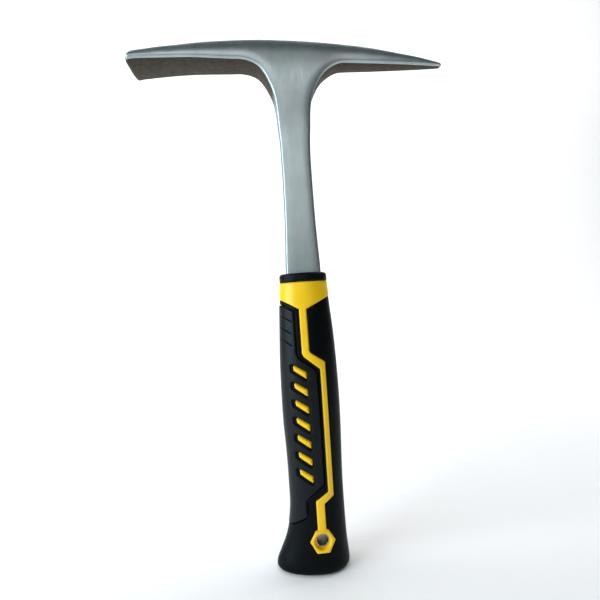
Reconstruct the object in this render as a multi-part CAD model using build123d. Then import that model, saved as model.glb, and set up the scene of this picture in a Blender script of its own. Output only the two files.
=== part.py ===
from build123d import *
import os
from math import cos, pi, sin

# Rock hammer: a one-piece steel forging (chisel blade, pick, shank and tang) with a
# moulded two-material grip. Millimetres. The origin is on the flat butt face, on the
# axis of the handle: +Z runs up the handle to the head, +X points to the pick, -X to
# the chisel blade, and the face with the stripe looks to -Y (the far face is the same).

# ---- driving dimensions -----------------------------------------------------------
OVERALL_LENGTH = 301.5          # butt face to the crown of the head
BLADE_REACH = 91.5              # handle axis to the cutting edge of the blade
PICK_REACH = 90.6               # handle axis to the point of the pick
BLADE_ROOT_Z = 290.6            # underside of the blade, where it leaves the neck
BLADE_BOW = 3.5                 # how far the cutting edge bows out in its middle
PICK_FLAT_Z = 287.6             # underside of the pick, where it leaves the neck
SHANK_HALF_THICKNESS = 4.9
HEAD_EDGE_RADIUS = 0.8          # rounding along the edges of the forging
NECK_BOTTOM_Z = 262.0           # the head's full depth fades into the shank's from
NECK_TOP_Z = 286.0              # here to here
CROWN_START_Z = 294.0           # above this the cheeks of the head lean in a little
CROWN_LEAN = 0.35

TANG_TOP_Z = 163.0              # the shank steps down to the hidden tang
TANG_TOP_HALF_WIDTH = 8.2
TANG_END_HALF_WIDTH = 7.0
TANG_END_Z = 34.0
TANG_HOLE_RADIUS = 3.0          # plastic flows through these and locks the grip
TANG_HOLE_HEIGHTS = (58.0, 92.0, 126.0)

GRIP_TOP_Z = 163.7
COLLAR_TOP_Z = 168.8
COLLAR_SHOULDER = 1.8
BUTT_EDGE_RADIUS = 3.0
RIM_STEPS = 6
SLEEVE_WALL = 2.6               # rubber thickness over the plastic core
CORE_BOTTOM_Z = 6.0
CORE_NECK_WALL = 1.2            # thin plastic neck that locates the collar
CORE_NECK_HEIGHT = 3.0
STRIPE_DEPTH = 0.35             # yellow faces sit this far below the rubber
BAR_DEPTH = 0.8                 # yellow bars in the finger windows
BAR_CLEARANCE = 0.2
BOSS_PROUD = 0.5                # the hexagonal boss stands this far above the rubber
PAD_THICKNESS = 1.4
PAD_GAP = 0.6                   # parting groove round the finger pad
SLIT_DEPTH = 0.6
SLIT_WIDTH = 0.6

HOLE_Z = 18.7                   # lanyard hole, on the handle axis
BOSS_RADIUS = 7.1               # hexagon, centre to corner
COUNTERBORE_RADIUS = 4.4
TUBE_OUTER_RADIUS = 3.7
TUBE_INNER_RADIUS = 3.1
TUBE_LENGTH = 22.4

WINDOW_COUNT = 7
WINDOW_PITCH = 9.75
LOWEST_WINDOW = (-6.7, 54.7)    # centre, in X and Z

THROUGH = 60.0                  # longer than anything it cuts

# Grip sections from the butt up: height, half-width on the blade side, half-width on
# the pick side, half-thickness. Each section is two half-ovals of equal thickness.
GRIP_STATIONS = (
    (0.0, 26.2, 16.0, 14.4),
    (4.0, 26.0, 16.0, 14.4),
    (10.0, 23.4, 15.6, 13.7),
    (16.0, 20.6, 15.2, 13.1),
    (24.0, 18.1, 15.0, 12.6),
    (34.0, 16.5, 14.9, 12.2),
    (48.0, 16.2, 14.9, 12.1),
    (66.0, 16.4, 15.4, 12.4),
    (84.0, 17.1, 16.0, 12.8),
    (102.0, 17.1, 16.1, 12.8),
    (120.0, 16.7, 15.7, 12.3),
    (136.0, 15.9, 15.0, 11.6),
    (150.0, 15.1, 13.9, 10.9),
    (GRIP_TOP_Z, 14.1, 13.1, 10.2),
)

# Half-depth of the head along X, from beyond the blade's edge to beyond the point.
HEAD_DEPTHS = (
    (-97.0, 14.6),
    (-85.0, 13.5),
    (-70.0, 12.2),
    (-55.0, 11.5),
    (-40.0, 10.7),
    (-16.0, 9.8),
    (8.0, 8.7),
    (30.0, 7.4),
    (50.0, 6.4),
    (72.0, 4.8),
    (94.0, 2.4),
)

# Outlines on the face of the grip, as X and Z.
YELLOW_LEFT_EDGE = (
    (-22.0, 158.1), (-4.9, 148.2), (-4.9, 123.4), (-3.9, 121.4),
    (4.9, 114.2), (4.9, 45.3), (-2.5, 40.8), (-2.5, HOLE_Z),
)
YELLOW_RIGHT_EDGE = (
    (2.5, HOLE_Z), (2.5, 38.9), (8.1, 42.7), (8.1, 118.1),
    (0.2, 123.6), (-0.5, 124.9), (-0.5, 148.1), (22.0, 158.9),
)
PAD_OUTLINE = (
    (-24.0, 155.7), (-8.0, 147.2), (-8.0, 123.6), (-6.8, 120.6), (1.8, 114.1),
    (2.9, 112.5), (2.9, 50.4), (-6.2, 42.6), (-7.6, 40.9), (-7.6, 32.6),
    (-8.9, 31.2), (-24.0, 21.8),
)
BAR_OUTLINE = ((-4.4, 4.3), (3.8, -0.2), (4.1, -4.8), (-3.9, 0.5))
WINDOW_OUTLINE = ((-5.5, 5.3), (4.4, 0.1), (4.8, -6.1), (-5.0, 0.2))
SLIT_STARTS = ((-9.6, 141.4), (-9.9, 134.5), (-9.8, 127.8))
SLIT_RUN = (-12.0, 8.4)         # from its inner end, outwards and up over the edge
OUTLINE_RADIUS = 0.9
WINDOW_RADIUS = 0.8


def smoothstep(t):
    t = min(max(t, 0.0), 1.0)
    return t * t * (3 - 2 * t)


def save(name, shape):
    export_step(shape, f"parts/{name}.step")


# ---- forging ----------------------------------------------------------------------
def head_depth(x):
    """Half-depth of the head at x, by a cubic through HEAD_DEPTHS."""
    last = len(HEAD_DEPTHS) - 2
    i = 0
    while i < last and x > HEAD_DEPTHS[i + 1][0]:
        i += 1
    (x0, d0), (x1, d1) = HEAD_DEPTHS[i], HEAD_DEPTHS[i + 1]
    before, after = HEAD_DEPTHS[max(i - 1, 0)], HEAD_DEPTHS[min(i + 2, last + 1)]
    m0 = (d1 - before[1]) / (x1 - before[0]) * (x1 - x0)
    m1 = (after[1] - d0) / (after[0] - x0) * (x1 - x0)
    t = (x - x0) / (x1 - x0)
    a = 2 * t**3 - 3 * t**2 + 1
    b = t**3 - 2 * t**2 + t
    c = 3 * t**2 - 2 * t**3
    d = t**3 - t**2
    return a * d0 + b * m0 + c * d1 + d * m1


def cheek(x, z):
    """Half-depth of the forging at a point of its front view."""
    share = smoothstep((z - NECK_BOTTOM_Z) / (NECK_TOP_Z - NECK_BOTTOM_Z))
    lean = CROWN_LEAN * (max(z - CROWN_START_Z, 0.0) / (OVERALL_LENGTH - CROWN_START_Z)) ** 2
    return SHANK_HALF_THICKNESS + (head_depth(x) - SHANK_HALF_THICKNESS) * share - lean


def front_view():
    """Closed outline of the forging in X and Z, from the blade over the crown."""
    crown_left = (-BLADE_REACH - 3, 293.2)
    crown_right = (PICK_REACH + 2.4, 288.4)
    crown = Spline(
        crown_left, (-78, 296.4), (-62, 298.5), (-45, 300.5), (-24, OVERALL_LENGTH),
        (0, 301.0), (12, 300.4), (42, 297.5), (68, 293.2), crown_right,
    )
    pick_tip = (crown_right[0], 286.3)
    pick_end = Line(crown_right, pick_tip)
    pick_root = (31.0, PICK_FLAT_Z + 0.6)
    pick_flat = Line(pick_tip, pick_root)
    pick_slope = (pick_root[0] - pick_tip[0], pick_root[1] - pick_tip[1])
    pick_fillet = Spline(
        pick_root, (19.6, 283.2), (12.6, 272.5), (9.2, 250.0), (8.4, 232.0),
        tangents=[pick_slope, (0, -1)],
    )
    pick_side = Spline((8.4, 232.0), (8.7, 200.0), (9.9, TANG_TOP_Z), tangents=[(0, -1), (0, -1)])
    pick_step = Line((9.9, TANG_TOP_Z), (TANG_TOP_HALF_WIDTH, TANG_TOP_Z))
    round_z = TANG_END_Z + TANG_END_HALF_WIDTH
    pick_tang = Line((TANG_TOP_HALF_WIDTH, TANG_TOP_Z), (TANG_END_HALF_WIDTH, round_z))
    tang_end = ThreePointArc(
        (TANG_END_HALF_WIDTH, round_z), (0, TANG_END_Z), (-TANG_END_HALF_WIDTH, round_z)
    )
    blade_tang = Line((-TANG_END_HALF_WIDTH, round_z), (-TANG_TOP_HALF_WIDTH, TANG_TOP_Z))
    blade_step = Line((-TANG_TOP_HALF_WIDTH, TANG_TOP_Z), (-10.3, TANG_TOP_Z))
    blade_side = Spline(
        (-10.3, TANG_TOP_Z), (-8.9, 200.0), (-8.5, 232.0), tangents=[(0, 1), (0, 1)]
    )
    blade_root = (-31.0, BLADE_ROOT_Z)
    blade_fillet = Spline(
        (-8.5, 232.0), (-9.1, 252.0), (-12.6, 276.5), (-19.4, 287.2), blade_root,
        tangents=[(0, 1), (-1, 0)],
    )
    blade_foot = (-BLADE_REACH - 3, 290.4)
    blade_under = Spline(
        blade_root, (-42, 291.0), (-55, 291.5), (-70, 291.3), (-85, 290.7), blade_foot,
        tangents=[(-1, 0), (-1, 0)],
    )
    blade_end = Line(blade_foot, crown_left)
    return Wire([
        crown, pick_end, pick_flat, pick_fillet, pick_side, pick_step, pick_tang, tang_end,
        blade_tang, blade_step, blade_side, blade_fillet, blade_under, blade_end,
    ])


def cheek_cutter():
    """Everything in front of the forging's front face."""
    columns = [-100 + 8 * i for i in range(26)]
    rows = [244 + 4 * j for j in range(16)]
    points = [[Vector(x, -cheek(x, z), z) for z in rows] for x in columns]
    face = Face.make_surface_from_array_of_points(points, tol=0.005, min_deg=3, max_deg=5)
    in_front_of_head = Solid.extrude(face, Vector(0, -THROUGH / 2, 0))
    in_front_of_shank = Pos(0, -SHANK_HALF_THICKNESS - THROUGH / 4, 122) * Box(
        2 * THROUGH, THROUGH / 2, 244
    )
    return in_front_of_head + in_front_of_shank


def head_plan():
    """The head from above: a blade with a bowed cutting edge, and a blunt point."""
    half = head_depth(-BLADE_REACH)
    bow = ThreePointArc(
        (-BLADE_REACH + BLADE_BOW, half), (-BLADE_REACH, 0), (-BLADE_REACH + BLADE_BOW, -half)
    )
    outline = Polyline(bow @ 1, (PICK_REACH, -half), (PICK_REACH, half), bow @ 0)
    return extrude(Pos(0, 0, -1) * make_face([bow, outline]), OVERALL_LENGTH + 2)


def rounded_edges(body):
    """Long edges of the crown, blade, neck and shank; the pick keeps its crisp lower edges."""
    chosen = []
    for edge in body.edges():
        box = edge.bounding_box()
        on_a_cheek = abs(edge.center().Y) > 0.9
        hidden = box.max.Z < TANG_TOP_Z + 1
        across_the_shank = box.size.Z < 0.01 and box.size.X < 40
        under_the_pick = edge.center().X > 0 and edge.center().Z < PICK_FLAT_Z + 1.2
        if on_a_cheek and not (hidden or across_the_shank or under_the_pick):
            chosen.append(edge)
    return chosen


def forged_hammer():
    plate = extrude(Plane.XZ * make_face(front_view()), THROUGH / 3, both=True)
    cutter = cheek_cutter()
    body = plate - cutter - mirror(cutter, about=Plane.XZ)
    body = fillet(rounded_edges(body), HEAD_EDGE_RADIUS)
    body &= head_plan()
    for height in TANG_HOLE_HEIGHTS:
        body -= Pos(0, 0, height) * Rot(90, 0, 0) * Cylinder(TANG_HOLE_RADIUS, THROUGH)
    return body


# ---- grip -------------------------------------------------------------------------
def grip_section(station, inset):
    """One closed section of the grip, shrunk by inset (grown where it is negative)."""
    z, blade_half, pick_half, half_thickness = station
    blade_half -= inset
    pick_half -= inset
    half_thickness -= inset
    points = []
    count = 12
    for i in range(count):
        angle = 2 * pi * i / count
        reach = pick_half if cos(angle) > 0 else blade_half
        points.append((reach * cos(angle), half_thickness * sin(angle)))
    return Plane.XY.offset(z) * make_face(Spline(points, periodic=True))


def grip_body(inset):
    return loft([grip_section(station, inset) for station in GRIP_STATIONS])


def through(points, grow=0.0, radius=OUTLINE_RADIUS):
    """A cutter through both faces of the grip, from an outline in X and Z."""
    outline = make_face(Polyline(*points, close=True))
    if grow:
        outline = offset(outline, grow, kind=Kind.INTERSECTION)
    if radius:
        outline = fillet(outline.vertices(), radius)
    return extrude(Plane.XZ * outline, THROUGH / 2, both=True)


def slab(z_low, z_high):
    return Pos(0, 0, (z_low + z_high) / 2) * Box(2 * THROUGH, THROUGH, z_high - z_low)


def cross_bar(radius, length):
    """A cylinder along the lanyard hole."""
    return Pos(0, 0, HOLE_Z) * Rot(90, 0, 0) * Cylinder(radius, length)


def window_centres():
    x, lowest = LOWEST_WINDOW
    return [(x, lowest + k * WINDOW_PITCH) for k in range(WINDOW_COUNT)]


def windows(outline, grow=0.0):
    """One slanted outline at every finger window, as one cutter."""
    cutters = []
    for x, z in window_centres():
        cutters.append(through([(x + dx, z + dz) for dx, dz in outline], grow, WINDOW_RADIUS))
    return Part() + cutters


def yellow_prism():
    return through(YELLOW_LEFT_EDGE + YELLOW_RIGHT_EDGE + ((22.0, 180.0), (-22.0, 180.0)))


def hexagon(radius):
    corners = [
        (radius * cos(pi * i / 3), HOLE_Z + radius * sin(pi * i / 3)) for i in range(6)
    ]
    return through(corners, radius=0.5)


def slits():
    """Three grooves over the blade-side edge of the pad."""
    cutters = []
    run_x, run_z = SLIT_RUN
    for x, z in SLIT_STARTS:
        cutters.append(through(
            ((x, z), (x, z + SLIT_WIDTH), (x + run_x, z + run_z + SLIT_WIDTH), (x + run_x, z + run_z)),
            radius=0.0,
        ))
    return Part() + cutters


def core_outside():
    """The plastic core with everything that shows through the rubber, still solid."""
    core = grip_body(SLEEVE_WALL) & slab(CORE_BOTTOM_Z, GRIP_TOP_Z)
    core += grip_body(STRIPE_DEPTH) & yellow_prism() & slab(HOLE_Z, GRIP_TOP_Z)
    core += grip_body(-BOSS_PROUD) & hexagon(BOSS_RADIUS)
    core += grip_body(BAR_DEPTH) & windows(BAR_OUTLINE)
    return core


def core_neck():
    half_width = TANG_TOP_HALF_WIDTH + 1.7 + CORE_NECK_WALL
    half_depth = SHANK_HALF_THICKNESS + CORE_NECK_WALL
    return Pos(0, 0, GRIP_TOP_Z + CORE_NECK_HEIGHT / 2) * Box(
        2 * half_width, 2 * half_depth, CORE_NECK_HEIGHT
    )


def grip_core(outside, forging):
    core = outside + core_neck()
    core -= forging
    core -= cross_bar(TUBE_OUTER_RADIUS, THROUGH)
    recess = cross_bar(COUNTERBORE_RADIUS, THROUGH) - cross_bar(COUNTERBORE_RADIUS, TUBE_LENGTH)
    return core - recess


def butt_station(z):
    """A section of the butt below the second station, where the sides run straight."""
    foot, above = GRIP_STATIONS[0], GRIP_STATIONS[1]
    share = z / above[0]
    halves = [low + (high - low) * share for low, high in zip(foot[1:], above[1:])]
    return (z, *halves)


def butt_rim():
    """The rounded foot of the grip: a quarter circle all round, in short flats."""
    sections = []
    for i in range(RIM_STEPS + 1):
        angle = pi / 2 * i / RIM_STEPS
        z = BUTT_EDGE_RADIUS * (1 - cos(angle))
        inset = BUTT_EDGE_RADIUS * (1 - sin(angle))
        sections.append(grip_section(butt_station(z), inset))
    return loft(sections, ruled=True)


def rubber_sleeve():
    rubber = grip_body(0.0) & slab(BUTT_EDGE_RADIUS, GRIP_TOP_Z)
    rubber += butt_rim()
    rubber -= grip_body(SLEEVE_WALL) & slab(CORE_BOTTOM_Z, GRIP_TOP_Z)
    rubber -= yellow_prism()
    rubber -= hexagon(BOSS_RADIUS)
    rubber -= through(PAD_OUTLINE, PAD_GAP) - grip_body(PAD_THICKNESS)
    return rubber - windows(BAR_OUTLINE, BAR_CLEARANCE)


def finger_pad():
    pad = grip_body(0.0) & through(PAD_OUTLINE)
    pad -= grip_body(PAD_THICKNESS)
    pad -= windows(WINDOW_OUTLINE)
    return pad - (slits() - grip_body(SLIT_DEPTH))


def top_collar(forging, neck):
    top = GRIP_STATIONS[-1]
    base = grip_section((GRIP_TOP_Z,) + top[1:], -0.15)
    collar = extrude(base, COLLAR_TOP_Z - GRIP_TOP_Z)
    collar = fillet(collar.edges().sort_by(Axis.Z)[-1], COLLAR_SHOULDER)
    collar = fillet(collar.edges().sort_by(Axis.Z)[0], 0.5)
    return collar - neck - forging


def lanyard_tube():
    return cross_bar(TUBE_OUTER_RADIUS, TUBE_LENGTH) - cross_bar(TUBE_INNER_RADIUS, TUBE_LENGTH)


def main():
    os.makedirs("parts", exist_ok=True)
    forging = forged_hammer()
    outside = core_outside()
    save("forged_hammer", forging)
    save("grip_core", grip_core(outside, forging))
    save("rubber_sleeve", rubber_sleeve())
    save("finger_pad", finger_pad())
    save("top_collar", top_collar(forging, core_neck()))
    save("lanyard_tube", lanyard_tube())


main()
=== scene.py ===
from math import acos, ceil, cos, hypot, pi, radians, sin, tan

import bmesh
import bpy
import numpy as np
from mathutils import Matrix, Vector
from mathutils.geometry import delaunay_2d_cdt


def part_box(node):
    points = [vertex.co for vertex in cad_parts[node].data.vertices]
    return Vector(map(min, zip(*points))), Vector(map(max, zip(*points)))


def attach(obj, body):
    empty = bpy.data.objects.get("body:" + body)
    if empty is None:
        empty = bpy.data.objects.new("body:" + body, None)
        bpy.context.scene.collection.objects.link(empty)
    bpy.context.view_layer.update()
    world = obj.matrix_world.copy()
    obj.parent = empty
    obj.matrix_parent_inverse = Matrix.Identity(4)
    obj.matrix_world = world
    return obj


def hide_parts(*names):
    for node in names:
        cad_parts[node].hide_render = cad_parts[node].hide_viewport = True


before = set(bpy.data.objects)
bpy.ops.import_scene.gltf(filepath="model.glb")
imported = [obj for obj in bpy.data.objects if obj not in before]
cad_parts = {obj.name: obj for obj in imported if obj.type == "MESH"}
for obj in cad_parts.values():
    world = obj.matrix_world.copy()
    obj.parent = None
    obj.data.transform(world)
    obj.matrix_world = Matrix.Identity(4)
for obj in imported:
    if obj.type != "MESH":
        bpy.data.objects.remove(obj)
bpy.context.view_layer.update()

# A rock hammer: steel forging, yellow grip core, black rubber sleeve, finger pad, collar
# and lanyard tube. Lengths are millimetres in the CAD's own frame (Z up the handle, X
# towards the pick, front face towards -Y) and become metres when a mesh is made.
MM = 0.001

# ---- driving dimensions --------------------------------------------------------------
BLADE_END = -91.6
PICK_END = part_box("forged_hammer")[1][0] / MM
COLLAR_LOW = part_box("top_collar")[0][2] / MM
COLLAR_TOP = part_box("top_collar")[1][2] / MM
TUBE_HALF_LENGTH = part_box("lanyard_tube")[1][1] / MM
TUBE_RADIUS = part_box("lanyard_tube")[1][0] / MM
TUBE_BORE = 3.1
TUBE_LIP = 0.18                 # rounding on the ends of the tube
HOLE_Z = 18.7
BOSS_RADIUS = 7.1
BOSS_PROUD = 0.7
COUNTERBORE = 4.4
LINER_RADIUS = 5.4              # plastic round the tube, out to the bosses
LINER_HALF_LENGTH = 12.35

# Grip sections: height, half-width on the blade side, half-width on the pick side and
# half-thickness.
GRIP_STATIONS = np.array((
    (0.0, 26.2, 16.0, 14.4), (4.0, 26.0, 16.0, 14.4), (10.0, 23.4, 15.6, 13.7),
    (16.0, 20.6, 15.2, 13.1), (24.0, 18.1, 15.0, 12.6), (34.0, 16.5, 14.9, 12.2),
    (48.0, 16.2, 14.9, 12.1), (66.0, 16.4, 15.4, 12.4), (84.0, 17.1, 16.0, 12.8),
    (102.0, 17.1, 16.1, 12.8), (120.0, 16.7, 15.7, 12.3), (136.0, 15.9, 15.0, 11.6),
    (150.0, 15.1, 13.9, 10.9), (COLLAR_LOW, 14.1, 13.1, 10.2),
))
BUTT_RADIUS = 3.0
AROUND = 14.5                   # turns an angle round the grip into a length
GIRTH = 2 * pi * AROUND
BUTT_FLAT = 10.4                # how far the foot of the grip runs in under the butt
FOOT = BUTT_RADIUS * (1 - pi / 2) - BUTT_FLAT

# Half-depth of the head along X.
HEAD_DEPTHS = np.array((
    (-97.0, 14.1), (-85.0, 13.3), (-70.0, 12.2), (-55.0, 11.5), (-40.0, 10.7), (-16.0, 9.8),
    (8.0, 8.7), (30.0, 7.4), (50.0, 6.4), (72.0, 4.8), (94.0, 2.4),
))
SHANK_HALF_THICKNESS = 4.9
SHANK_PICK_SIDE = 9.9           # the shank at the collar, from the handle's axis
SHANK_BLADE_SIDE = 10.3
TANG_LOW = 36.0
NECK_Z = (240.0, 290.0)         # the shank's thickness grows into the head's over this
NECK_RISE = 12.0                # and starts this much higher on the pick's side
CROWN = (
    (-90.4, 293.2), (-78.0, 296.9), (-62.0, 299.1), (-45.0, 301.0), (-24.0, 302.0), (0.0, 301.5),
    (12.0, 300.9), (42.0, 298.0), (68.0, 293.4),
)
UNDERSIDE_Z = 290.0             # about where the head's underside is
HEAD_EDGE = 0.9
BLADE_BOW = 2.8                 # how far the cutting edge bows out in its middle
TIP_REACH = 2.0                 # length of the pick's rounded point
CROWN_LEAN = 0.16               # how far the cheeks lean in towards the crown
BELLY = 0.75                    # how far the cheeks roll off towards their edges
BELLY_REACH = 5.0
SLEEVE_EDGE = 0.6
SLEEVE_WALL = 2.6
CORE_EDGE = 0.8
CORE_WALL = 3.0
POCKET_DEPTH = 0.75             # floor of the pocket that holds the finger pad
POCKET_FLOOR = 1.8
PAD_PROUD = 0.35
PAD_THICKNESS = 1.05
STRIPE_PROUD = 0.25

# Outlines on the face of the grip, as X and Z.
YELLOW_EDGE = (
    (-0.5, 148.1), (-0.5, 124.9), (0.2, 123.6), (8.1, 118.1), (8.1, 42.7), (2.5, 38.9),
    (2.5, 24.85), (3.55, 24.85), (7.1, HOLE_Z), (3.55, 12.55), (-3.55, 12.55),
    (-7.1, HOLE_Z), (-3.55, 24.85), (-2.5, 24.85), (-2.5, 40.8), (4.9, 45.3),
    (4.9, 114.2), (-3.9, 121.4), (-4.9, 123.4), (-4.9, 148.2),
)
BAND_SLOPE_PICK = 0.48
BAND_SLOPE_BLADE = -0.579
PAD_EDGE = (
    (-8.0, 147.2), (-8.0, 123.6), (-6.8, 120.6), (1.8, 114.1), (2.9, 112.5), (2.9, 50.4),
    (-6.2, 42.6), (-7.6, 40.9), (-7.6, 32.6), (-8.9, 31.2),
)
PAD_SLOPE_TOP = -0.531
PAD_SLOPE_FOOT = 0.6225
PAD_GAP = 0.5
BAR_CORNER = 0.7
BAR_CLEARANCE = 0.1
WINDOW_CORNER = 1.5
BAR = ((-4.4, 4.3), (3.8, -0.2), (4.1, -4.8), (-3.9, 0.5))
WINDOW = ((-5.5, 5.3), (4.4, 0.1), (4.8, -6.1), (-5.0, 0.2))
WINDOW_X = -6.7
WINDOW_HEIGHTS = [54.7 + 9.75 * k for k in range(7)]
SLITS = ((-9.6, 141.7), (-9.9, 134.8), (-9.8, 128.1))
SLIT_SLOPE = -0.7
SLIT_HALF_WIDTH = 0.45
SLIT_DEPTH = 0.85
CORNER_ROUNDING = 0.9           # corners of the yellow and the pad, in outline

# ---- meshing -------------------------------------------------------------------------
ARC_STEPS = 5                   # points on a rounded corner
BATCH = 1500                    # points measured at a time
ROW_PITCH = 0.87                # rows of a triangular grid, in spacings
RING_GAPS = (0.4, 1.0)          # extra rings of points inside a rounded edge
WELD = 1e-6
SHARP_ANGLE = 45


# ---- curves --------------------------------------------------------------------------
def smooth_curve(xs, ys, x):
    """A smooth curve through (xs, ys), read at x."""
    x = np.asarray(x, float)
    slopes = np.gradient(ys, xs)
    i = np.clip(np.searchsorted(xs, x) - 1, 0, len(xs) - 2)
    run = xs[i + 1] - xs[i]
    t = np.clip((x - xs[i]) / run, 0, 1)
    return (
        (2 * t**3 - 3 * t**2 + 1) * ys[i] + (t**3 - 2 * t**2 + t) * run * slopes[i]
        + (3 * t**2 - 2 * t**3) * ys[i + 1] + (t**3 - t**2) * run * slopes[i + 1]
    )


def smoothstep(t):
    t = np.clip(t, 0, 1)
    return t * t * (3 - 2 * t)


def finer(path, step):
    """The same path with no gap longer than step."""
    out = [path[0]]
    for a, b in zip(path, path[1:]):
        count = max(1, ceil(hypot(b[0] - a[0], b[1] - a[1]) / step))
        out += [
            (a[0] + (b[0] - a[0]) * k / count, a[1] + (b[1] - a[1]) * k / count)
            for k in range(1, count + 1)
        ]
    return out


def rounded(points, radius, closed=False):
    """The path with its corners turned into arcs."""
    n = len(points)
    out = []
    for i, corner in enumerate(points):
        if not closed and i in (0, n - 1):
            out.append(corner)
            continue
        corner = Vector(corner)
        back = Vector(points[i - 1]) - corner
        on = Vector(points[(i + 1) % n]) - corner
        half = back.angle(on) / 2
        reach = min(radius / tan(half), 0.45 * back.length, 0.45 * on.length)
        size = reach * tan(half)
        centre = corner + (back.normalized() + on.normalized()).normalized() * size / sin(half)
        a = corner + back.normalized() * reach - centre
        b = corner + on.normalized() * reach - centre
        turn = a.angle_signed(b)
        for k in range(ARC_STEPS + 1):
            out.append(tuple(centre + Matrix.Rotation(-turn * k / ARC_STEPS, 2) @ a))
    return out


def through(points, start, end, step):
    """A smooth plane curve through points, from direction start to direction end."""
    p = np.array(points, float)
    gaps = np.hypot(*np.diff(p, axis=0).T)
    at = np.concatenate([[0], np.cumsum(gaps)])
    slopes = np.gradient(p, at, axis=0)
    slopes[0] = np.array(start) / hypot(*start)
    slopes[-1] = np.array(end) / hypot(*end)
    out = []
    for i in range(len(p) - 1):
        count = max(2, ceil(gaps[i] / step))
        for t in np.arange(count) / count:
            out.append(
                (2 * t**3 - 3 * t**2 + 1) * p[i] + (t**3 - 2 * t**2 + t) * gaps[i] * slopes[i]
                + (3 * t**2 - 2 * t**3) * p[i + 1] + (t**3 - t**2) * gaps[i] * slopes[i + 1]
            )
    out.append(p[-1])
    return [tuple(q) for q in out]


def grown(loop, distance):
    """A closed loop moved outwards by distance, whichever way round it runs."""
    p = np.array(loop, float)
    along = np.roll(p, -1, axis=0) - np.roll(p, 1, axis=0)
    along /= np.hypot(along[:, 0], along[:, 1])[:, None] + 1e-12
    area = np.sum(p[:, 0] * np.roll(p[:, 1], -1) - np.roll(p[:, 0], -1) * p[:, 1])
    side = np.stack([along[:, 1], -along[:, 0]], 1) * (1 if area > 0 else -1)
    return [tuple(q) for q in p + side * distance]


# ---- the surface of the grip ---------------------------------------------------------
def grip_halves(z):
    z = np.maximum(z, 0.0)
    return [smooth_curve(GRIP_STATIONS[:, 0], GRIP_STATIONS[:, k], z) for k in (1, 2, 3)]


def grip_surface(u, v, height):
    """u runs round the grip from its pick edge and v up it; height is above the rubber."""
    over = np.clip((BUTT_RADIUS - v) / BUTT_RADIUS, 0, None)
    turn = np.minimum(over, pi / 2)
    inwards = np.maximum(over - pi / 2, 0) * BUTT_RADIUS
    z = np.where(v > BUTT_RADIUS, v, BUTT_RADIUS * (1 - np.sin(turn)))
    lift = height * np.cos(turn) - BUTT_RADIUS * (1 - np.cos(turn)) - inwards
    blade, pick, thick = grip_halves(z)
    c = np.cos(u / AROUND)
    s = np.sin(u / AROUND)
    reach = np.where(c > 0, pick, blade)
    return np.stack([(reach + lift) * c, (thick + lift) * s, z - height * np.sin(turn)], 1)


def on_front(x, z):
    """The place on the unrolled grip of a point seen from the front."""
    blade, pick, _ = grip_halves(z)
    return (GIRTH - AROUND * acos(max(-1, min(1, x / (pick if x > 0 else blade)))), z)


def to_back(path):
    return [(GIRTH - u, v) for u, v in path][::-1]


def front_path(points, radius, closed=False, step=0.6):
    points = rounded(points, radius, closed)
    if closed:
        points = points + points[:1]
    path = [on_front(x, z) for x, z in finer(points, step)]
    return path[:-1] if closed else path


def edge_run(start, slope, blade_side=True, step=0.8):
    """From start, along a line of that slope, to the side edge of the grip."""
    u0 = on_front(*start)[0]
    u1 = GIRTH / 2 if blade_side else GIRTH
    count = ceil(abs(u1 - u0) / step)
    path = []
    for k in range(count + 1):
        u = u0 + (u1 - u0) * k / count
        z = start[1]
        for _ in range(6):
            blade, pick, _ = grip_halves(z)
            x = (blade if blade_side else pick) * cos(u / AROUND)
            z = start[1] + slope * (x - start[0])
        path.append((u, float(z)))
    return path


# ---- patches: flat regions cut to outline, with rounded edges ------------------------
def distance_to(points, segments):
    """Each point's distance to the nearest segment."""
    best = np.full(len(points), 1e9)
    a, b = segments[:, 0], segments[:, 1]
    run = b - a
    length = np.maximum((run**2).sum(1), 1e-12)
    for low in range(0, len(points), BATCH):
        p = points[low:low + BATCH, None]
        t = np.clip(((p - a) * run).sum(2) / length, 0, 1)
        gap = np.linalg.norm(p - a - t[..., None] * run, axis=2)
        best[low:low + BATCH] = gap.min(1)
    return best


def inside(points, segments):
    """Which points the closed segments surround, by the even-odd rule."""
    hit = np.zeros(len(points), bool)
    a, b = segments[:, 0], segments[:, 1]
    for low in range(0, len(points), BATCH):
        p = points[low:low + BATCH, None]
        spans = (a[:, 1] > p[..., 1]) != (b[:, 1] > p[..., 1])
        with np.errstate(divide="ignore", invalid="ignore"):
            x = a[:, 0] + (p[..., 1] - a[:, 1]) / (b[:, 1] - a[:, 1]) * (b[:, 0] - a[:, 0])
        hit[low:low + BATCH] = (spans & (p[..., 0] < x)).sum(1) % 2 == 1
    return hit


def loop_segments(loop):
    p = np.array(loop, float)
    return np.stack([p, np.roll(p, -1, axis=0)], 1)


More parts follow.
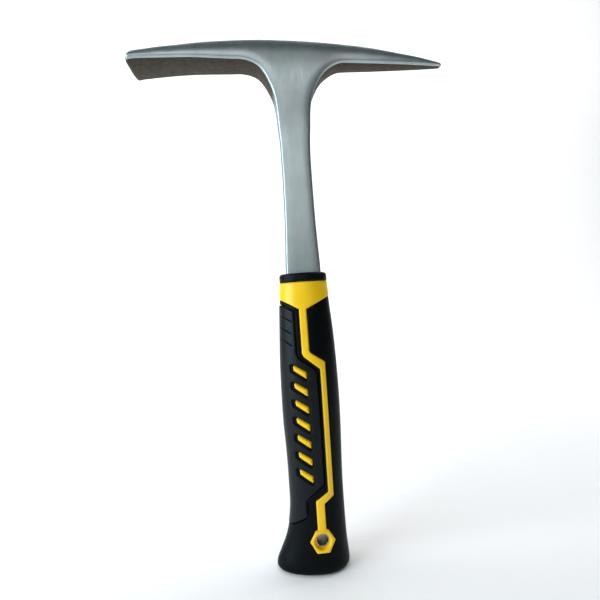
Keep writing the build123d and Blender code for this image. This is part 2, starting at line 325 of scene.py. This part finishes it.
def patch(loops, radius, spacing, open_edge=None, grooves=()):
    """Triangles that fill the loops by the even-odd rule.

    open_edge says which boundary segments are joins, not edges: they aren't rounded and
    get no wall. grooves are (path, half-width) with points laid along them. Returns the
    points, the triangles, each point's distance to the edge and the edge's segments.
    """
    every = np.concatenate([loop_segments(loop) for loop in loops])
    hard = every
    if open_edge:
        hard = np.array([s for s in every if not open_edge(s)])
    boundary = np.concatenate([np.array(loop, float) for loop in loops])
    cloud = []
    along = hard[:, 1] - hard[:, 0]
    side = np.stack([-along[:, 1], along[:, 0]], 1) / np.linalg.norm(along, axis=1)[:, None]
    middle = hard.mean(1)
    rings = [radius * (1 - cos(radians(a))) for a in (30, 50, 70, 90)]
    for reach in rings + [radius + gap for gap in RING_GAPS]:
        for sign in (1, -1):
            ring = middle + side * sign * reach
            ring = ring[inside(ring, every)]
            cloud.append(ring[distance_to(ring, hard) > reach * 0.97])
    low, high = boundary.min(0), boundary.max(0)
    rows = int((high[1] - low[1]) / (spacing * ROW_PITCH)) + 1
    columns = int((high[0] - low[0]) / spacing) + 1
    grid = np.array([
        (low[0] + (c + 0.5 * (r % 2)) * spacing, low[1] + (r + 0.5) * spacing * ROW_PITCH)
        for r in range(rows) for c in range(columns)
    ])
    grid = grid[inside(grid, every)]
    grid = grid[distance_to(grid, hard) > radius + RING_GAPS[-1] + spacing * 0.4]
    for path, half in grooves:
        lines = np.stack([np.array(path[:-1]), np.array(path[1:])], 1)
        gap = lines[:, 1] - lines[:, 0]
        normal = np.stack([-gap[:, 1], gap[:, 0]], 1) / np.linalg.norm(gap, axis=1)[:, None]
        grid = grid[distance_to(grid, lines) > 3 * half]
        for k in (-2.2, -1.3, -1.0, -0.6, -0.25, 0, 0.25, 0.6, 1.0, 1.3, 2.2):
            row = lines.mean(1) + normal * k * half
            row = row[inside(row, every)]
            cloud.append(row[distance_to(row, hard) > radius])
    cloud.append(grid[distance_to(grid, every) > 0.4])
    extra = np.concatenate(cloud)
    points = np.concatenate([boundary, extra])
    edges = []
    base = 0
    for loop in loops:
        edges += [(base + i, base + (i + 1) % len(loop)) for i in range(len(loop))]
        base += len(loop)
    result = delaunay_2d_cdt([Vector(p) for p in points], edges, [], 0, 1e-4)
    found = np.array([tuple(v) for v in result[0]])
    faces = np.array([f for f in result[2] if len(f) == 3])
    faces = faces[inside(found[faces].mean(1), every)]
    return found, faces, distance_to(found, hard), hard


def drop(distance, radius):
    """How far a rounded edge has fallen at a distance from it."""
    d = np.clip(distance, 0, radius)
    return radius - np.sqrt(np.maximum(radius**2 - (radius - d)**2, 0))


def solid_from(skins, faces, found, hard):
    """A closed bmesh from an outer and an inner skin of the same triangles. Its walls get
    the piece's second material."""
    bm = bmesh.new()
    outer = [bm.verts.new(Vector(p) * MM) for p in skins[0]]
    inner = [bm.verts.new(Vector(p) * MM) for p in skins[1]]
    for a, b, c in faces:
        bm.faces.new((outer[a], outer[b], outer[c]))
        bm.faces.new((inner[c], inner[b], inner[a]))
    used = {}
    for a, b, c in faces:
        for edge in ((a, b), (b, c), (c, a)):
            key = (min(edge), max(edge))
            used[key] = used.get(key, 0) + 1
    rim = np.array([edge for edge, count in used.items() if count == 1])
    on_edge = distance_to(found[rim].mean(1), hard) < 0.01
    for a, b in rim[on_edge]:
        bm.faces.new((outer[a], outer[b], inner[b], inner[a])).material_index = 1
    loose = [v for v in bm.verts if not v.link_faces]
    bmesh.ops.delete(bm, geom=loose, context="VERTS")
    return bm


def finish_mesh(name, parts, material, node, walls=None):
    """Joins closed bmeshes into one named piece on the hammer's one body."""
    mesh = bpy.data.meshes.new(name)
    whole = bmesh.new()
    for bm in parts:
        bmesh.ops.remove_doubles(bm, verts=bm.verts, dist=WELD)
        gaps = [e for e in bm.edges if e.is_boundary]
        if gaps:
            bmesh.ops.holes_fill(bm, edges=gaps, sides=0)
        bmesh.ops.recalc_face_normals(bm, faces=bm.faces)
        part = bpy.data.meshes.new("part")
        bm.to_mesh(part)
        whole.from_mesh(part)
        bm.free()
        bpy.data.meshes.remove(part)
    whole.to_mesh(mesh)
    whole.free()
    mesh.shade_smooth()
    mesh.set_sharp_from_angle(angle=radians(SHARP_ANGLE))
    piece = bpy.data.objects.new(name, mesh)
    bpy.context.scene.collection.objects.link(piece)
    mesh.materials.append(material)
    mesh.materials.append(walls or material)
    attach(piece, "root")
    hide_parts(node)
    return piece


def grip_patch(loops, radius, height, thickness, spacing, open_edge=None, grooves=()):
    """A shell on the grip that fills the loops. Grooves fade out round the blade's side."""
    found, faces, gap, hard = patch(loops, radius, spacing, open_edge, grooves)
    level = height - drop(gap, radius)
    for path, half in grooves:
        lines = np.stack([np.array(path[:-1]), np.array(path[1:])], 1)
        across = distance_to(found, lines) / half
        from_side = smoothstep((np.abs(found[:, 0] - GIRTH / 2) - 1.0) / 5.0)
        level = level - SLIT_DEPTH * from_side * (1 - smoothstep((across - 0.25) / 0.9))
    outer = grip_surface(found[:, 0], found[:, 1], level)
    inner = grip_surface(found[:, 0], found[:, 1], np.full(len(found), height - thickness))
    return solid_from((outer, inner), faces, found, hard)


# ---- materials -----------------------------------------------------------------------
def new_material(name):
    material = bpy.data.materials.new(name)
    material.use_nodes = True
    tree = material.node_tree
    return material, tree, tree.nodes["Principled BSDF"]


def noise(tree, scale, detail, stretch=(1, 1, 1), rough=0.55):
    """Noise in the piece's own space, drawn out along an axis whose stretch is small."""
    place = tree.nodes.new("ShaderNodeTexCoord")
    mapping = tree.nodes.new("ShaderNodeMapping")
    mapping.inputs["Scale"].default_value = stretch
    texture = tree.nodes.new("ShaderNodeTexNoise")
    texture.inputs["Scale"].default_value = scale
    texture.inputs["Detail"].default_value = detail
    texture.inputs["Roughness"].default_value = rough
    tree.links.new(place.outputs["Object"], mapping.inputs["Vector"])
    tree.links.new(mapping.outputs["Vector"], texture.inputs["Vector"])
    return texture.outputs["Fac"]


def ramp(tree, value, stops):
    node = tree.nodes.new("ShaderNodeValToRGB")
    band = node.color_ramp
    while len(band.elements) < len(stops):
        band.elements.new(0.5)
    for element, (at, colour) in zip(band.elements, stops):
        element.position = at
        element.color = (*colour, 1)
    tree.links.new(value, node.inputs["Fac"])
    return node.outputs["Color"]


def mapped(tree, value, low, high, to_low, to_high):
    node = tree.nodes.new("ShaderNodeMapRange")
    node.interpolation_type = "SMOOTHSTEP"
    node.inputs["From Min"].default_value = low
    node.inputs["From Max"].default_value = high
    node.inputs["To Min"].default_value = to_low
    node.inputs["To Max"].default_value = to_high
    tree.links.new(value, node.inputs["Value"])
    return node.outputs["Result"]


def mixed(tree, factor, a, b):
    node = tree.nodes.new("ShaderNodeMix")
    node.data_type = "RGBA"
    tree.links.new(factor, node.inputs["Factor"])
    tree.links.new(a, node.inputs["A"])
    tree.links.new(b, node.inputs["B"])
    return node.outputs["Result"]


def bump(tree, shader, value, strength, distance):
    node = tree.nodes.new("ShaderNodeBump")
    node.inputs["Strength"].default_value = strength
    node.inputs["Distance"].default_value = distance
    tree.links.new(value, node.inputs["Height"])
    tree.links.new(node.outputs["Normal"], shader.inputs["Normal"])


def ground_colour(tree):
    """Satin ground steel with fine lines along the handle: its colour and the lines."""
    streaks = noise(tree, 2400, 4, (1, 1, 0.02), 0.55)
    clouds = noise(tree, 60, 7, (1, 1, 0.5), 0.62)
    lines = ramp(tree, streaks, [(0.32, (0.365, 0.425, 0.435)), (0.68, (0.465, 0.53, 0.545))])
    cloudy = ramp(tree, clouds, [(0.35, (0.31, 0.365, 0.36)), (0.65, (0.475, 0.55, 0.57))])
    blend = tree.nodes.new("ShaderNodeMix")
    blend.data_type = "RGBA"
    blend.inputs["Factor"].default_value = 0.5
    tree.links.new(lines, blend.inputs["A"])
    tree.links.new(cloudy, blend.inputs["B"])
    return blend.outputs["Result"], streaks


def ground_steel():
    material, tree, shader = new_material("ground_steel")
    colour, streaks = ground_colour(tree)
    tree.links.new(colour, shader.inputs["Base Color"])
    shader.inputs["Metallic"].default_value = 1.0
    tree.links.new(mapped(tree, streaks, 0.3, 0.7, 0.32, 0.43), shader.inputs["Roughness"])
    bump(tree, shader, streaks, 0.06, 0.00004)
    return material


def steel_with_painted_undersides():
    """Ground steel on the shank's sides; where the walls face down they are painted near-black brown,
    a painted reflection and painted shade.
    """
    material, tree, shader = new_material("steel_with_painted_undersides")
    colour, _ = ground_colour(tree)
    grain = noise(tree, 420, 6)
    # skin is painted near-black brown, not a forging skin: a painted reflection of a dark surface
    # below, and painted shade.
    skin = ramp(tree, grain, [(0.35, (0.020, 0.013, 0.006)), (0.65, (0.042, 0.029, 0.015))])
    geometry = tree.nodes.new("ShaderNodeNewGeometry")
    facing = tree.nodes.new("ShaderNodeSeparateXYZ")
    tree.links.new(geometry.outputs["Normal"], facing.inputs["Vector"])
    # Mask of the faces that look down, where the painted reflection and shade go.
    under = mapped(tree, facing.outputs["Z"], -0.05, -0.34, 0.0, 1.0)
    tree.links.new(mixed(tree, under, colour, skin), shader.inputs["Base Color"])
    tree.links.new(mapped(tree, under, 0, 1, 1.0, 0.08), shader.inputs["Metallic"])
    tree.links.new(mapped(tree, under, 0, 1, 0.50, 0.62), shader.inputs["Roughness"])
    shader.inputs["Specular IOR Level"].default_value = 0.3
    bump(tree, shader, grain, 0.3, 0.0001)
    return material


def yellow_plastic():
    material, tree, shader = new_material("yellow_plastic")
    tint = ramp(tree, noise(tree, 55, 3), [(0.3, (0.90, 0.53, 0.001)), (0.7, (0.97, 0.62, 0.002))])
    tree.links.new(tint, shader.inputs["Base Color"])
    grain = noise(tree, 2600, 3)
    tree.links.new(mapped(tree, grain, 0.3, 0.7, 0.27, 0.37), shader.inputs["Roughness"])
    shader.inputs["Specular IOR Level"].default_value = 0.45
    bump(tree, shader, grain, 0.10, 0.00004)
    return material


def black_rubber(name, tone, gloss):
    material, tree, shader = new_material(name)
    patches = noise(tree, 70, 4)
    dark = tuple(tone * c for c in (0.80, 0.94, 1.06))
    light = tuple(tone * c for c in (1.25, 1.45, 1.65))
    tree.links.new(ramp(tree, patches, [(0.35, dark), (0.68, light)]), shader.inputs["Base Color"])
    grain = noise(tree, 3200, 4)
    tree.links.new(mapped(tree, grain, 0.3, 0.7, 0.36, 0.48), shader.inputs["Roughness"])
    shader.inputs["Specular IOR Level"].default_value = gloss
    shader.inputs["Specular Tint"].default_value = (0.72, 0.92, 1.0, 1.0)
    bump(tree, shader, grain, 0.22, 0.00006)
    return material


def tube_steel():
    material, tree, shader = new_material("tube_steel")
    rings = noise(tree, 900, 4, (1, 0.08, 1))
    colour = ramp(tree, rings, [(0.3, (0.24, 0.24, 0.20)), (0.7, (0.44, 0.44, 0.38))])
    tree.links.new(colour, shader.inputs["Base Color"])
    tree.links.new(mapped(tree, rings, 0.3, 0.7, 0.26, 0.40), shader.inputs["Roughness"])
    shader.inputs["Metallic"].default_value = 1.0
    bump(tree, shader, rings, 0.1, 0.00005)
    return material


# ---- outlines on the unrolled grip ---------------------------------------------------
def yellow_path():
    """The lower edge of the yellow, once round the grip, from its pick edge and back."""
    to_pick = edge_run(YELLOW_EDGE[0], BAND_SLOPE_PICK, blade_side=False)
    to_blade = edge_run(YELLOW_EDGE[-1], BAND_SLOPE_BLADE)
    front = to_pick[::-1][:-1] + front_path(YELLOW_EDGE, CORNER_ROUNDING) + to_blade[1:]
    return front + to_back(front)[1:]


def pad_loop():
    top = edge_run(PAD_EDGE[0], PAD_SLOPE_TOP)
    foot = edge_run(PAD_EDGE[-1], PAD_SLOPE_FOOT)
    front = top[::-1][:-1] + front_path(PAD_EDGE, CORNER_ROUNDING) + foot[1:]
    return front + to_back(front)[1:-1]


def window_loops(outline, radius):
    """One outline at every window, on the front and on the back."""
    loops = []
    for z in WINDOW_HEIGHTS:
        points = [(WINDOW_X + dx, z + dz) for dx, dz in outline]
        loop = front_path(points, radius, closed=True, step=0.5)
        loops += [loop, to_back(loop)]
    return loops


def circle_loop(radius, count=40):
    points = [
        (radius * cos(2 * pi * k / count), HOLE_Z + radius * sin(2 * pi * k / count))
        for k in range(count)
    ]
    return [on_front(x, z) for x, z in points]


def hexagon_loop(radius):
    points = [(radius * cos(pi * k / 3), HOLE_Z + radius * sin(pi * k / 3)) for k in range(6)]
    return front_path(points, 0.4, closed=True, step=0.5)


def slit_paths():
    paths = []
    for start in SLITS:
        front = edge_run(start, SLIT_SLOPE, step=0.5)
        paths.append((front + to_back(front)[1:], SLIT_HALF_WIDTH))
    return paths


def seam(low, high, step=1.5):
    count = ceil((high - low) / step)
    return [low + (high - low) * k / count for k in range(count + 1)]


def is_join(segment):
    """Segments on the unrolled grip's two sides or its foot: joins, not moulded edges."""
    (u0, v0), (u1, v1) = segment
    on_side = abs(u0 - u1) < 1e-6 and (abs(u0) < 1e-6 or abs(u0 - GIRTH) < 1e-6)
    return on_side or (abs(v0 - FOOT) < 1e-6 and abs(v1 - FOOT) < 1e-6)


# ---- pieces --------------------------------------------------------------------------
def rubber_sleeve(material):
    path = yellow_path()
    end_z = path[0][1]
    path[-1] = (0.0, end_z)
    up = [(GIRTH, v) for v in seam(FOOT, end_z)][:-1]
    down = [(0.0, v) for v in seam(FOOT, end_z)][::-1][1:]
    foot = [(u, FOOT) for u in seam(0, GIRTH)][1:-1]
    outer = up + path + down + foot
    pocket = grown(pad_loop(), PAD_GAP)
    skin = grip_patch([outer, pocket], SLEEVE_EDGE, 0.0, SLEEVE_WALL, 1.7, open_edge=is_join)
    bar_holes = [grown(loop, BAR_CLEARANCE) for loop in window_loops(BAR, BAR_CORNER)]
    under_pad = grown(pad_loop(), PAD_GAP + 0.05)
    floor = grip_patch([under_pad] + bar_holes, 0.1, -POCKET_DEPTH, POCKET_FLOOR, 2.4)
    return finish_mesh("rubber_sleeve_moulded", [skin, floor], material, "rubber_sleeve")


def finger_pad(material):
    loops = [pad_loop()] + window_loops(WINDOW, WINDOW_CORNER)
    pad = grip_patch(loops, SLEEVE_EDGE, PAD_PROUD, PAD_THICKNESS, 1.4, grooves=slit_paths())
    return finish_mesh("finger_pad_moulded", [pad], material, "finger_pad")


def grip_core(material):
    path = yellow_path()
    end_z = path[0][1]
    side_heights = seam(end_z, COLLAR_LOW)
    up_right = [(GIRTH, v) for v in side_heights][::-1][:-1]
    up_left = [(0.0, v) for v in side_heights][1:]
    path[-1] = (0.0, end_z)
    top = [(u, COLLAR_LOW) for u in seam(0, GIRTH)][1:-1]
    outer = path + up_left + top + up_right
    holes = [circle_loop(COUNTERBORE), to_back(circle_loop(COUNTERBORE))]
    parts = [grip_patch([outer] + holes, CORE_EDGE, STRIPE_PROUD, CORE_WALL, 1.7, open_edge=is_join)]
    boss = [hexagon_loop(BOSS_RADIUS), circle_loop(COUNTERBORE)]
    for loops in (boss, [to_back(loop) for loop in boss]):
        parts.append(grip_patch(loops, 0.7, BOSS_PROUD, 2.4, 0.9))
    for loop in window_loops(BAR, BAR_CORNER):
        parts.append(grip_patch([loop], 2.0, 0.1, CORE_WALL, 0.7))
    step = COUNTERBORE - 0.02
    parts.append(lathe([
        (step, -LINER_HALF_LENGTH), (step, -TUBE_HALF_LENGTH), (TUBE_RADIUS, -TUBE_HALF_LENGTH),
        (TUBE_RADIUS, TUBE_HALF_LENGTH), (step, TUBE_HALF_LENGTH), (step, LINER_HALF_LENGTH),
        (LINER_RADIUS, LINER_HALF_LENGTH), (LINER_RADIUS, -LINER_HALF_LENGTH),
    ]))
    return finish_mesh("grip_core_moulded", parts, material, "grip_core")


def lathe(profile, segments=64):
    """A closed ring about the lanyard hole's axis, from (radius, y) points."""
    bm = bmesh.new()
    rings = []
    for k in range(segments):
        angle = 2 * pi * k / segments
        rings.append([
            bm.verts.new(Vector((r * cos(angle), y, HOLE_Z + r * sin(angle))) * MM)
            for r, y in profile
        ])
    n = len(profile)
    for ring, following in zip(rings, rings[1:] + rings[:1]):
        for i in range(n):
            j = (i + 1) % n
            bm.faces.new((ring[i], ring[j], following[j], following[i]))
    return bm


def lanyard_tube(material):
    end = TUBE_HALF_LENGTH - TUBE_LIP
    quarter = np.linspace(0, pi / 2, 4)
    lip = [
        (TUBE_BORE + TUBE_LIP * (1 - cos(a)), end + TUBE_LIP * sin(a)) for a in quarter
    ] + [
        (TUBE_RADIUS - TUBE_LIP * (1 - sin(a)), end + TUBE_LIP * cos(a)) for a in quarter
    ]
    profile = [(r, -y) for r, y in lip[::-1]] + lip
    return finish_mesh("lanyard_tube_turned", [lathe(profile)], material, "lanyard_tube")


def top_collar(material):
    """Soft ring on the top of the grip, round the shank."""
    shoulder = 1.7
    squareness = 0.33
    profile = [(COLLAR_LOW, -0.35), (COLLAR_LOW + 0.12, -0.1), (COLLAR_LOW + 0.45, 0.1)]
    profile += [(COLLAR_LOW + 1.4, 0.15), (COLLAR_TOP - shoulder, 0.15)]
    for angle in np.linspace(0, pi / 2, 7)[1:]:
        profile.append((COLLAR_TOP - shoulder * (1 - sin(angle)), 0.15 - shoulder * (1 - cos(angle))))
    top = GRIP_STATIONS[-1]
    count = 96
    bm = bmesh.new()
    rings = []
    for z, lift in profile:
        ring = []
        for k in range(count):
            c, s = cos(2 * pi * k / count), sin(2 * pi * k / count)
            reach = top[2] if c > 0 else top[1]
            ring.append(bm.verts.new(Vector(((reach + lift) * c, (top[3] + lift) * s, z)) * MM))
        rings.append(ring)
    for z, gap in ((COLLAR_TOP, 0.45), (COLLAR_TOP - 0.35, 0.05), (COLLAR_LOW, 0.05)):
        ring = []
        for k in range(count):
            c, s = cos(2 * pi * k / count), sin(2 * pi * k / count)
            box_c = abs(c)**squareness * (1 if c > 0 else -1)
            box_s = abs(s)**squareness * (1 if s > 0 else -1)
            width = SHANK_PICK_SIDE if c > 0 else SHANK_BLADE_SIDE
            place = ((width + gap) * box_c, (SHANK_HALF_THICKNESS + gap) * box_s, z)
            ring.append(bm.verts.new(Vector(place) * MM))
        rings.append(ring)
    for ring, above in zip(rings, rings[1:] + rings[:1]):
        for k in range(count):
            n = (k + 1) % count
            bm.faces.new((ring[k], ring[n], above[n], above[k]))
    return finish_mesh("top_collar_moulded", [bm], material, "top_collar")


def head_depth(x):
    return smooth_curve(HEAD_DEPTHS[:, 0], HEAD_DEPTHS[:, 1], x)


def cheek(x, z):
    """Half-depth of the forging at a point of its front view."""
    low = NECK_Z[0] + NECK_RISE * smoothstep((x + 14) / 30)
    share = smoothstep((z - low) / (NECK_Z[1] - low))
    depth = SHANK_HALF_THICKNESS + (head_depth(x) - SHANK_HALF_THICKNESS) * share
    crown = np.array(CROWN)
    top = smooth_curve(crown[:, 0], crown[:, 1], x)
    tall = np.clip(0.75 * (top - UNDERSIDE_Z), 1.5, 9.0)
    lean = CROWN_LEAN * tall * np.clip(1 - (top - z) / tall, 0, 1)**2
    bow = np.clip((BLADE_END + BLADE_BOW - x) / BLADE_BOW, 0, 0.999)
    tip = np.clip((x - PICK_END + TIP_REACH) / TIP_REACH, 0, 0.97)
    return (depth - lean) * (1 - bow**2)**0.4 * np.sqrt(1 - 0.75 * tip**2)


def forging_outline(step=0.9):
    """The forging from the front, once round, from the blade over the crown."""
    crown = through(
        [(BLADE_END, 291.9), *CROWN, (PICK_END - 1.6, 289.0)],
        (0.5, 1), (1, -0.24), step,
    )
    tip_foot = (PICK_END - 1.5, 286.7)
    tip = through(
        [(PICK_END - 1.6, 289.0), (PICK_END, 287.8), tip_foot], (1, -0.24), (-1, 0.03), 0.4
    )
    pick_fillet = through(
        [(31, 288.2), (19.6, 283.2), (12.6, 272.5), (9.2, 250), (8.4, 232)], (-1, 0.03), (0, -1), step
    )
    shoulder = COLLAR_LOW - 0.7
    pick_corner = (SHANK_PICK_SIDE, shoulder)
    blade_corner = (-SHANK_BLADE_SIDE, shoulder)
    pick_side = through([(8.4, 232), (8.7, 200), pick_corner], (0, -1), (0, -1), 2)
    tang = rounded(
        [pick_corner, (8.2, shoulder), (7.0, TANG_LOW), (-7.0, TANG_LOW), (-8.2, shoulder),
         blade_corner], 0.3,
    )
    blade_side = through([blade_corner, (-8.9, 200), (-8.5, 232)], (0, 1), (0, 1), 2)
    blade_fillet = through(
        [(-8.5, 232), (-9.1, 252), (-12.6, 276.5), (-19.4, 287.2), (-31, 290.6)], (0, 1), (-1, 0), step
    )
    blade_end = through(
        [(-31, 290.6), (-42, 291.0), (-55, 291.5), (-70, 291.3), (-86, 290.7), (-90.4, 290.5),
         (BLADE_END, 291.9)],
        (-1, 0), (-0.3, 1), step,
    )
    loop = crown[:-1] + tip[:-1] + [tip_foot] + pick_fillet[:-1] + pick_side[:-1]
    loop += tang[:-1] + blade_side[:-1] + blade_fillet[:-1] + blade_end[:-1]
    return finer(loop + loop[:1], 1.6)[:-1]


def forged_hammer(material, walls):
    """The forging: ground cheeks, and walls in the second material between them."""
    found, faces, gap, hard = patch([forging_outline()], HEAD_EDGE, 2.0)
    depth = cheek(found[:, 0], found[:, 1])
    fall = drop(gap, HEAD_EDGE) + BELLY * np.clip(1 - gap / BELLY_REACH, 0, 1)**2
    depth = depth - np.minimum(fall, depth * 0.8)
    front = np.stack([found[:, 0], -depth, found[:, 1]], 1)
    back = np.stack([found[:, 0], depth, found[:, 1]], 1)
    body = solid_from((front, back), faces, found, hard)
    return finish_mesh("forged_hammer_ground", [body], material, "forged_hammer",
                       walls=walls)


# ---- the hammer ----------------------------------------------------------------------
forged_hammer(ground_steel(), steel_with_painted_undersides())
grip_core(yellow_plastic())
rubber_sleeve(black_rubber("black_rubber", 0.0016, 0.09))
# The pad is the sleeve's rubber with a lighter tone: painted light for the lit blade side of the grip.
finger_pad(black_rubber("pad_rubber_painted_lighter", 0.004, 0.19))
top_collar(black_rubber("collar_rubber", 0.002, 0.12))
lanyard_tube(tube_steel())


# ---- stage, light and camera ---------------------------------------------------------
def backdrop():
    """A pale floor that curves up behind the hammer."""
    width, front, back, bend, height = 3.0, -1.6, 1.3, 0.7, 3.2
    profile = [(front, 0.0), (back - bend, 0.0)]
    profile += [
        (back - bend + bend * sin(a), bend - bend * cos(a)) for a in np.linspace(0, pi / 2, 24)[1:]
    ]
    profile.append((back, height))
    bm = bmesh.new()
    rows = [[bm.verts.new((x, y, z)) for x in (-width, 0, width)] for y, z in profile]
    for row, above in zip(rows, rows[1:]):
        for k in range(2):
            bm.faces.new((row[k], row[k + 1], above[k + 1], above[k]))
    mesh = bpy.data.meshes.new("backdrop")
    bm.to_mesh(mesh)
    bm.free()
    mesh.shade_smooth()
    stage = bpy.data.objects.new("backdrop", mesh)
    bpy.context.scene.collection.objects.link(stage)
    material, tree, shader = new_material("pale_paper")
    tint = ramp(tree, noise(tree, 3, 2), [(0.3, (0.90, 0.90, 0.90)), (0.7, (0.93, 0.93, 0.93))])
    tree.links.new(tint, shader.inputs["Base Color"])
    shader.inputs["Roughness"].default_value = 0.9
    mesh.materials.append(material)


def soft_light(name, place, target, size, power, colour=(1, 1, 1)):
    lamp = bpy.data.lights.new(name, "AREA")
    lamp.shape = "RECTANGLE"
    lamp.size, lamp.size_y = size
    lamp.energy = power
    lamp.color = colour
    light = bpy.data.objects.new(name, lamp)
    light.location = place
    light.rotation_euler = (Vector(target) - Vector(place)).to_track_quat("-Z", "Y").to_euler()
    bpy.context.scene.collection.objects.link(light)


def surroundings(colour, strength):
    world = bpy.data.worlds.new("studio")
    world.use_nodes = True
    background = world.node_tree.nodes["Background"]
    background.inputs["Color"].default_value = (*colour, 1)
    background.inputs["Strength"].default_value = strength
    bpy.context.scene.world = world


def camera():
    """A wide phone lens close to the grip, level, and rolled a little."""
    lens = bpy.data.cameras.new("camera")
    lens.sensor_width = 36
    lens.lens = 26.7
    lens.clip_start = 0.01
    eye = bpy.data.objects.new("camera", lens)
    yaw, roll = radians(4.1), radians(3.8)
    ahead = Vector((sin(yaw), cos(yaw), 0))
    level = Vector((cos(yaw), -sin(yaw), 0))
    up = Vector((0, 0, 1))
    right = level * cos(roll) - up * sin(roll)
    top = level * sin(roll) + up * cos(roll)
    turn = Matrix((right, top, -ahead)).transposed().to_4x4()
    eye.matrix_world = Matrix.Translation((-0.0216, -0.259, 0.1534)) @ turn
    bpy.context.scene.collection.objects.link(eye)
    bpy.context.scene.camera = eye


backdrop()
surroundings((0.93, 0.97, 1.0), 0.10)
middle = (0, 0, 0.16)
soft_light("window_left", (-0.95, -0.45, 0.40), middle, (0.7, 1.1), 14.5, (0.80, 0.92, 1.0))
soft_light("front", (-0.1, -1.2, 0.61), (0, 0, 0.25), (1.2, 0.34), 2.6)
soft_light("backdrop_wash", (0, 0.3, 1.3), (0, 1.25, 0.4), (3.0, 0.6), 27)
camera()
bpy.context.scene.view_settings.view_transform = "Standard"
